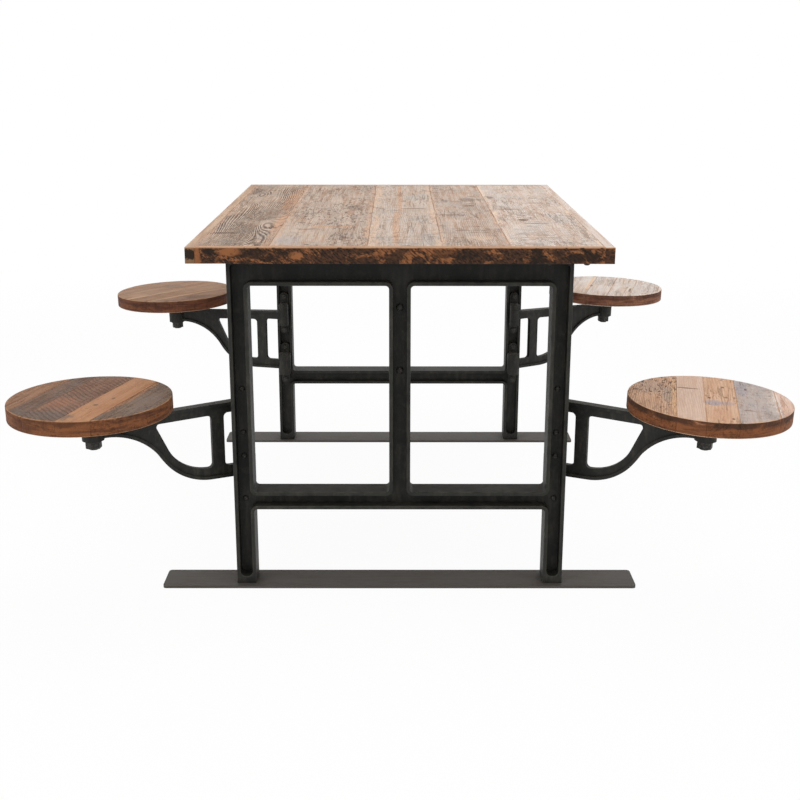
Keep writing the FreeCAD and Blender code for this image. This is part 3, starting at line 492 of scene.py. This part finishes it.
SEATS = {
    "front_left": {
        "grain": -16, "joint_shares": (0.17, 0.31, 0.55, 0.745), "rim": picture_colour(176, 130, 94),
        "side": (picture_colour(134, 84, 52), picture_colour(100, 62, 42), picture_colour(66, 45, 34)),
        "seam": picture_colour(112, 74, 52), "saw_gap": 0.0135, "slant": 0.8, "band": 0.1,
        "spots": (
            (-0.03, -0.14, 0.07, 0.026, picture_colour(112, 96, 86), 0.85),
            (-0.04, -0.05, 0.026, 0.04, picture_colour(160, 110, 84), 0.6),
            (0.053, 0.004, 0.003, 0.006, HOLE, 0.9), (0.04, -0.048, 0.005, 0.006, HOLE, 0.8),
            (0.082, 0.05, 0.014, 0.11, picture_colour(172, 122, 86), 0.9),
            (0.07, -0.08, 0.016, 0.05, picture_colour(168, 120, 86), 0.8),
        ),
        "planks": (
            board_tones(
                (150, 112, 86), (134, 96, 70), (142, 110, 88), (86, 58, 42),
                saw=0.2, dents=0.3,
            ),
            board_tones(
                (124, 96, 80), (106, 78, 63), (114, 96, 84), (62, 48, 40),
                saw=0.5, dents=0.5,
            ),
            board_tones(
                (144, 108, 86), (126, 92, 74), (122, 98, 82), (68, 50, 41),
                saw=1.0, dents=0.4,
            ),
            board_tones(
                (178, 132, 98), (164, 118, 84), (170, 126, 96), (120, 80, 54),
                saw=0.1, dents=0.2, cracks=0.2, rings=0.3, cross=0,
            ),
            board_tones(
                (130, 108, 92), (116, 92, 76), (122, 106, 96), (78, 62, 53),
                saw=0.6, dents=0.8, cross=0.8,
            ),
        ),
    },
    "front_right": {
        "grain": -12, "joint_shares": (0.30, 0.47, 0.66, 0.90), "rim": picture_colour(206, 166, 134),
        "side": (picture_colour(136, 84, 52), picture_colour(110, 68, 44), picture_colour(72, 48, 36)),
        "seam": picture_colour(182, 138, 104), "saw_gap": 0.022, "slant": 0, "band": 0.9,
        "spots": (
            (0.008, -0.035, 0.02, 0.018, BLUE_GREY, 0.9), (0.034, -0.033, 0.016, 0.014, BLUE_GREY, 0.5),
            (0.07, 0.09, 0.014, 0.05, picture_colour(152, 146, 150), 0.7),
            (0.125, -0.08, 0.02, 0.04, picture_colour(150, 140, 136), 0.6),
            # A whitish band along the seat's right side
            (0.137, 0.0, 0.006, 0.09, WHITISH, 0.8),
            (0.131, 0.0, 0.014, 0.1, picture_colour(198, 184, 174), 0.5),
            (-0.12, 0.05, 0.03, 0.05, picture_colour(160, 142, 130), 0.5),
            (-0.085, 0.0, 0.012, 0.06, picture_colour(158, 142, 130), 0.6),
            (-0.045, 0.06, 0.024, 0.004, HOLE, 0.8),
            (-0.072, -0.02, 0.004, 0.15, picture_colour(208, 166, 126), 0.9),
            (0.031, 0.09, 0.003, 0.006, HOLE, 0.9), (0.078, 0.088, 0.003, 0.006, HOLE, 0.9),
            (0.0, 0.0, 0.003, 0.006, HOLE, 0.9), (0.034, 0.012, 0.004, 0.006, HOLE, 0.6),
            (0.052, 0.012, 0.003, 0.009, HOLE, 0.6), (0.043, -0.14, 0.003, 0.006, HOLE, 0.9),
            (0.02, -0.12, 0.02, 0.05, picture_colour(188, 142, 112), 0.5),
            (0.078, -0.07, 0.012, 0.004, HOLE, 0.6),
        ),
        "planks": (
            board_tones(
                (200, 162, 134), (180, 140, 112), (190, 152, 124), (92, 62, 46),
                saw=0.1, dents=1.2, cross=1.0, rings=0.5,
            ),
            board_tones(
                (203, 175, 156), (193, 163, 143), (197, 171, 155), (152, 118, 97),
                saw=0, dents=0.05, cracks=0.1, cross=0, rings=0.2,
            ),
            board_tones(
                (204, 168, 141), (192, 152, 122), (198, 164, 139), (136, 96, 70),
                saw=0.1, dents=0.6, rings=0.3, ring_gap=0.007,
            ),
            board_tones(
                (180, 165, 157), (172, 152, 140), (166, 157, 154), (122, 103, 93),
                saw=0.3, dents=0.4, rings=0,
            ),
            board_tones(
                (212, 182, 165), (202, 166, 146), (214, 190, 176), (156, 114, 94),
                saw=0.2, dents=0.6, rings=0.2,
            ),
        ),
    },
    "back_left": {
        "grain": -45, "joint_shares": (0.26, 0.52, 0.785), "rim": picture_colour(178, 140, 112),
        "side": (picture_colour(122, 76, 52), picture_colour(92, 56, 42), picture_colour(58, 38, 32)),
        "seam": picture_colour(120, 88, 66), "saw_gap": 0.03, "slant": 0, "band": 0.3,
        "spots": (
            (-0.067, 0.037, 0.03, 0.03, picture_colour(126, 112, 98), 0.6),
            (0.003, -0.1, 0.005, 0.12, picture_colour(204, 166, 132), 0.7),
            (0.078, -0.03, 0.005, 0.15, picture_colour(200, 162, 128), 0.7),
            (0.125, -0.02, 0.02, 0.03, picture_colour(112, 84, 68), 0.6),
        ),
        "planks": (
            board_tones(
                (164, 131, 107), (144, 108, 84), (158, 130, 109), (104, 76, 58),
                saw=0.2, dents=0.3,
            ),
            board_tones(
                (168, 136, 111), (147, 111, 86), (160, 133, 112), (106, 78, 60),
                saw=0.2, dents=0.3,
            ),
            board_tones(
                (160, 128, 103), (141, 105, 80), (154, 126, 105), (102, 74, 56),
                saw=0.2, dents=0.3,
            ),
            board_tones(
                (150, 118, 95), (133, 99, 77), (141, 116, 98), (92, 66, 50),
                saw=0.2, dents=0.4,
            ),
        ),
    },
    "back_right": {
        "grain": -15, "joint_shares": (0.17, 0.38, 0.565, 0.755), "rim": picture_colour(226, 206, 192),
        "side": (picture_colour(142, 97, 74), picture_colour(110, 71, 54), picture_colour(70, 45, 36)),
        "seam": picture_colour(178, 138, 112), "saw_gap": 0.03, "slant": 0, "band": 0.6,
        "spots": (
            (-0.048, 0.03, 0.004, 0.2, picture_colour(228, 192, 158), 0.9),
            (0.08, -0.055, 0.004, 0.036, picture_colour(116, 98, 84), 0.9),
            (-0.04, -0.02, 0.004, 0.014, picture_colour(128, 108, 88), 0.9),
            (0.02, 0.06, 0.01, 0.02, picture_colour(186, 176, 168), 0.7),
        ),
        "planks": tuple(
            board_tones(
                (222 + step, 208 + step, 198 + step), (206, 184, 166),
                (210 + step, 203 + step, 198 + step), (150, 126, 108),
                saw=0.3, dents=0.5,
            )
            for step in (0, 4, 2, 5, 0)
        ),
    },
}


def seat_faces(rim, light, warm, black, left, right, seam, axis, middle, band):
    """A seat plank's seams, its sawn side, which runs on round the whole seat, and its worn rim."""
    def faces(wood, colour, streak):
        x = wood.part(wood.place, 0)
        gap = x.rise(left + SEAT_SEAM, left + SEAT_SEAM / 3)
        gap = gap + x.rise(right - SEAT_SEAM, right - SEAT_SEAM / 3)
        colour = wood.mix(colour, seam, gap * wood.noise((30, 9, 30), detail=3).rise(0.36, 0.52) * 0.8)
        facing = abs(wood.part(wood.normal, 2))
        dot = {"operation": "DOT_PRODUCT"}
        up = wood.make("ShaderNodeVectorMath", dot, {0: wood.own, 1: axis}, "Value") - middle.dot(axis)
        grain = wood.noise((14, 14, 130), detail=5, roughness=0.6, warp=0.5, vector=wood.own)
        blotch = wood.noise((20, 20, 34), detail=6, roughness=0.65, warp=0.6, vector=wood.own)
        high = (up + (blotch - 0.5) * 0.02 - SEAT_FLANGE).rise(0.018, 0.024) * band
        shown = wood.mix(light, warm, grain.rise(0.42, 0.6))
        soiled = (blotch.rise(0.52, 0.68) * 0.6).at_least(high * blotch.rise(0.3, 0.5))
        shown = wood.mix(shown, black, soiled)
        shown = wood.mix(shown, rim, blotch.rise(0.36, 0.28) * 0.5)
        colour = wood.mix(colour, shown, facing.rise(0.5, 0.3))
        worn = wood.noise((40, 40, 40), detail=3).rise(0.3, 0.5)
        return wood.mix(colour, rim, facing.rise(0.3, 0.5) * facing.rise(0.97, 0.85) * worn * 0.8)
    return faces


def seat_plank(name, left, right, place):
    """One plank of a seat: the round board cut off at both of the plank's joints."""
    select_nothing()
    middle = (0, 0, SEAT_FLANGE + SEAT_THICKNESS / 2)
    bpy.ops.mesh.primitive_cylinder_add(
        vertices=SEAT_SIDES, radius=SEAT_RADIUS, depth=SEAT_THICKNESS, location=middle,
    )
    piece = own_mesh(name)
    bpy.ops.object.mode_set(mode="EDIT")
    bpy.ops.mesh.select_mode(type="EDGE")
    bpy.ops.mesh.select_all(action="DESELECT")
    mesh = bmesh.from_edit_mesh(piece.data)
    for edge in mesh.edges:
        edge.select = abs(edge.verts[0].co.z - edge.verts[1].co.z) < SEAT_THICKNESS / 2
    bmesh.update_edit_mesh(piece.data)
    bpy.ops.mesh.bevel(offset=SEAT_RIM, segments=3, affect="EDGES")
    for line, outwards in ((left, -1), (right, 1)):
        if abs(line) < SEAT_RADIUS:
            bpy.ops.mesh.select_all(action="SELECT")
            bpy.ops.mesh.bisect(
                plane_co=(line, 0, 0), plane_no=(outwards, 0, 0), use_fill=True, clear_outer=True,
            )
            mesh = bmesh.from_edit_mesh(piece.data)
            for edge in mesh.edges:
                edge.select = all(abs(vertex.co.x - line) < SEAT_JOINT / 10 for vertex in edge.verts)
            bmesh.update_edit_mesh(piece.data)
            bpy.ops.mesh.bevel(offset=SEAT_JOINT, segments=2, affect="EDGES")
    steps = int(2 * SEAT_RADIUS / BOARD_STEP)
    for step in range(1, steps):
        bpy.ops.mesh.select_all(action="SELECT")
        bpy.ops.mesh.bisect(plane_co=(0, (2 * step / steps - 1) * SEAT_RADIUS, 0), plane_no=(0, 1, 0))
    bpy.ops.object.mode_set(mode="OBJECT")
    piece.data.transform(place)
    wear(piece)
    return piece


swivels = {joint["child"]: joint for joint in frame["joints"] if joint["child"].startswith("seat_")}
for count, (corner, seat) in enumerate(SEATS.items()):
    swivel = swivels[f"seat_{corner}"]
    axis = Vector(swivel["axis"]).normalized()
    middle = Vector(swivel["pos_m"])
    node = f"seat_planks_{corner}"
    lean = Matrix.Rotation(math.acos(axis.z), 4, axis.cross(Vector((0, 0, -1))).normalized())
    place = Matrix.Translation(middle) @ lean @ Matrix.Rotation(math.radians(seat["grain"]), 4, "Z")
    lines = [(2 * share - 1) * SEAT_RADIUS for share in (0, *seat["joint_shares"], 1)]
    for number, (left, right) in enumerate(zip(lines, lines[1:])):
        tones = seat["planks"][number]
        plank = seat_plank(f"{node}_{number + 1}", left, right, place)
        side = seat_faces(
            seat["rim"], *seat["side"], left, right, seat["seam"], axis, middle, seat["band"],
        )
        layer = count * SEAT_LAYER + number * SEAT_PLANK_LAYER
        finish = old_wood(
            f"{node}_{number + 1}_wood", seat["grain"], middle.xy, layer,
            stained=tones["tan"], spots=seat["spots"], saw_gap=seat["saw_gap"], slant=seat["slant"],
            side=side, **tones,
        )
        dress(plank, finish, f"seat_{corner}", "seat_wood", node)

# Battens
# Two sawn boards across the underside that hold the planks flat,
# with a screw through the batten into each plank.
BATTEN_PALE = picture_colour(168, 132, 98)
BATTEN_TAN = picture_colour(138, 102, 72)
BATTEN_DARK = picture_colour(84, 60, 44)
BATTEN_LAYER = 7
for end in ("front", "back"):
    node = f"top_batten_{end}"
    batten = board(f"{node}_board", *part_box(node), along=0)
    finish = old_wood(
        f"{node}_wood", turn=90, layer=BATTEN_LAYER, pale=BATTEN_PALE, tan=BATTEN_TAN,
        grey=BATTEN_PALE, dark=BATTEN_DARK, stained=BATTEN_TAN,
    )
    dress(batten, finish, "base", "batten_wood", node)

# Iron castings
# End frames, brackets, arms and stretcher, each poured in one piece and bolted together. Black iron
# with a fine sandy skin; olive-brown on upward faces, partly dust and partly painted light from above;
# grey along the rims of the frames, partly rubbed and partly a painted highlight; and a painted shade
# under the top.
IRON_BLACK = picture_colour(27, 27, 24)
IRON_DEEP = picture_colour(18, 18, 16)
# Grey of rubbed iron, which on the frames' rounded rims is also a painted highlight
IRON_RUBBED_AND_HIGHLIGHT = picture_colour(70, 68, 60)
# Olive-brown of dust on upward faces, which is also painted light from above
IRON_DUST_AND_TOP_LIGHT = picture_colour(62, 59, 51)
IRON_WORN = picture_colour(62, 58, 50)
# Painted shade: near-black under the tabletop
IRON_PAINTED_SHADE = picture_colour(9, 9, 8)
RIM_DEPTH = 0.003
# Heights over which a frame darkens into the painted shade under the top
PAINTED_SHADE_LOW = 0.67
PAINTED_SHADE_HIGH = 0.72
IRON_ROUGHNESS = 0.52
IRON_RELIEF = 0.0006
METAL_SHEEN = 0.3
CASTING_LAYER = 0.37
CASTINGS = ("end_frame", "swing_arm", "upper_bracket", "lower_bracket", "centre_stretcher")


def cast_iron(name, layer, face=None):
    """Black cast iron with a sandy skin, worn streaks and upward faces lightened partly by dust and
    partly by painted light from above. A frame, whose outer face is given, also has rims lighter partly
    by rubbing and partly by a painted highlight, and a painted shade under the top."""
    iron = Finish(name, layer=layer)
    sand = iron.noise((900, 900, 900), detail=2)
    lump = iron.noise((60, 60, 60), detail=4)
    patch = iron.noise((14, 14, 14), detail=5, roughness=0.65)
    streak = iron.noise((95, 95, 16), detail=5, roughness=0.66)
    colour = iron.mix(IRON_BLACK, IRON_DEEP, patch.rise(0.5, 0.68))
    colour = iron.mix(colour, IRON_WORN, streak.rise(0.44, 0.64) * patch.rise(0.62, 0.4) * 0.6)
    rubbed = lump.rise(0.52, 0.7) * sand.rise(0.36, 0.56) * 0.4
    if face is not None:
        # Rims on a frame's outer face are lighter, most of all on their rounded edges: partly wear,
        # partly a painted highlight.
        outer = abs(iron.part(iron.own, 1)).rise(face - RIM_DEPTH, face - RIM_DEPTH * 0.4)
        soft = abs(iron.part(iron.normal, 1)).rise(0.99, 0.9)
        rubbed = rubbed.at_least(outer * (soft * 0.5 + 0.1) * lump.rise(0.32, 0.56))
    colour = iron.mix(colour, IRON_RUBBED_AND_HIGHLIGHT, rubbed)
    # Upward faces are lighter: partly dust, partly painted light from above.
    dust_and_top_light = iron.part(iron.normal, 2).rise(0.5, 0.85) * lump.rise(0.3, 0.5)
    if face is not None:
        # Painted shade: the frame darkens towards its top, under the tabletop.
        colour = iron.mix(colour, IRON_PAINTED_SHADE, iron.part(iron.own, 2).rise(PAINTED_SHADE_LOW, PAINTED_SHADE_HIGH) * 0.6)
        dust_and_top_light = dust_and_top_light * 0.3
    colour = iron.mix(colour, IRON_DUST_AND_TOP_LIGHT, dust_and_top_light * 0.85)
    height = sand * 0.25 + lump * 0.6
    iron.coat(colour, IRON_ROUGHNESS + patch * 0.14, height, IRON_RELIEF, METAL_SHEEN)
    return iron.material


for count, (node, piece) in enumerate(sorted(frame["nodes"].items())):
    if node.startswith(CASTINGS):
        low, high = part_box(node)
        face = max(abs(low.y), abs(high.y)) if node.startswith("end_frame") else None
        piece.material_slots[0].material = cast_iron(f"{node}_iron", count * CASTING_LAYER, face)

# Steel plates and fasteners
# Flat hot-rolled foot plates, oiled and brown-grey, bolted up into the feet,
# and dark machined bolts, nuts, screws, pins and spindles.
PLATE_GREY = picture_colour(78, 74, 70)
PLATE_BROWN = picture_colour(74, 64, 54)
BOLT_DARK = picture_colour(34, 33, 30)
BOLT_BRIGHT = picture_colour(84, 81, 74)
STEEL_ROUGHNESS = 0.5
STEEL_RELIEF = 0.0004
FASTENERS = ("bolts", "nuts", "screws")
TURNED_PIECES = ("hinge_pins", "seat_spindle", "seat_screws", "spindle_nut")


def steel(name, base, second, grain):
    """Dark steel skin with faint streaks along the rolling direction."""
    skin = Finish(name)
    streak = skin.noise(grain, detail=5, roughness=0.6)
    patch = skin.noise((30, 30, 30), detail=4)
    colour = skin.mix(base, second, streak.rise(0.42, 0.66) * 0.7)
    height = streak * 0.3 + patch * 0.4
    skin.coat(colour, STEEL_ROUGHNESS + patch * 0.12, height, STEEL_RELIEF, METAL_SHEEN)
    return skin.material


plate_steel = steel("rolled_steel", PLATE_GREY, PLATE_BROWN, (9, 120, 120))
bolt_steel = steel("bolt_steel", BOLT_DARK, BOLT_BRIGHT, (300, 300, 300))
for node, piece in frame["nodes"].items():
    if node.startswith("foot_plate"):
        piece.material_slots[0].material = plate_steel
    elif node.endswith(FASTENERS) or node.startswith(TURNED_PIECES):
        piece.material_slots[0].material = bolt_steel

# Studio
# A plain white floor and surround under three broad soft lamps. What the camera sees of them, straight
# or in a mirror or glass, is white, and the floor keeps the table's shadow.
FLOOR_SIZE = 4000
FLOOR_GLOW = 0.95
FLOOR_NEAR = 2
FLOOR_FAR = 4
FLOOR_PAINT = (0.86, 0.86, 0.86, 1)
WHITE = (1, 1, 1, 1)
AIR_STRENGTH = 0.55
# Each lamp: its name, place, the point that it faces, its width in metres and its watts
LAMPS = (
    ("overhead", (0.2, 0.3, 3.2), (0, 0, 0.6), 3.2, 62),
    ("front_left", (-2.6, -2.8, 2.1), (0, 0, 0.5), 1.8, 34),
    ("front_right", (2.8, -2.2, 1.8), (0, 0, 0.5), 1.6, 20),
)


def picture_rays(recipe):
    """1 for what the camera sees, straight or by a mirror or glass, and 0 for light on the table."""
    seen, mirrored, through = (
        recipe.make("ShaderNodeLightPath", {}, {}, f"Is {ray} Ray")
        for ray in ("Camera", "Glossy", "Transmission")
    )
    return seen.at_least(mirrored).at_least(through)


select_nothing()
bpy.ops.mesh.primitive_plane_add(size=FLOOR_SIZE, location=(0, 0, 0))
floor = bpy.context.object
floor.name = "studio_floor"
studio = Finish("studio_white")
paint = studio.make("ShaderNodeBsdfDiffuse", {}, {"Color": FLOOR_PAINT})
glow = studio.make("ShaderNodeEmission", {}, {"Color": WHITE, "Strength": 1})
reach = studio.make("ShaderNodeVectorMath", {"operation": "LENGTH"}, {0: studio.own}, "Value")
share = reach.rise(FLOOR_NEAR, FLOOR_FAR) * (1 - FLOOR_GLOW) + FLOOR_GLOW
share = picture_rays(studio) * share
studio.show(studio.make("ShaderNodeMixShader", {}, {0: share, 1: paint, 2: glow}))
floor.data.materials.append(studio.material)

world = bpy.data.worlds.new("studio_air")
bpy.context.scene.world = world
air = Recipe(world)
soft = air.make("ShaderNodeBackground", {}, {"Color": WHITE, "Strength": AIR_STRENGTH})
white = air.make("ShaderNodeBackground", {}, {"Color": WHITE, "Strength": 1})
blend = air.make("ShaderNodeMixShader", {}, {0: picture_rays(air), 1: soft, 2: white})
air.show(blend, "ShaderNodeOutputWorld")

for name, place, target, width, power in LAMPS:
    light = bpy.data.lights.new(name, "AREA")
    light.shape = "SQUARE"
    light.size = width
    light.energy = power
    lamp = bpy.data.objects.new(name, light)
    bpy.context.scene.collection.objects.link(lamp)
    lamp.location = place
    lamp.rotation_euler = (Vector(target) - Vector(place)).to_track_quat("-Z", "Y").to_euler()

# Camera
# The photograph's view from the short end, a little above the top. Its place, pitch and focus
# were fitted to the table's corners, windows and seats, the focus in pixels of a picture 800 wide.
LENS_FOCUS = 1228.7
PICTURE_WIDTH = 800
SENSOR_WIDTH = 36
CAMERA_PLACE = (-0.0062, -3.0988, 1.1621)
CAMERA_PITCH = 0.27916
CAMERA_ROLL = 0.00139
CAMERA_YAW = -0.0026
SIGHT_END = 5000

camera = bpy.data.cameras.new("camera")
camera.sensor_width = SENSOR_WIDTH
camera.lens = LENS_FOCUS / PICTURE_WIDTH * SENSOR_WIDTH
camera.clip_end = SIGHT_END
eye = bpy.data.objects.new("camera", camera)
bpy.context.scene.collection.objects.link(eye)
eye.location = CAMERA_PLACE
sight = Matrix.Rotation(CAMERA_YAW, 4, "Z") @ Matrix.Rotation(math.pi / 2 - CAMERA_PITCH, 4, "X")
eye.rotation_euler = (sight @ Matrix.Rotation(CAMERA_ROLL, 4, "Z")).to_euler()
bpy.context.scene.camera = eye
bpy.context.scene.view_settings.view_transform = "Standard"
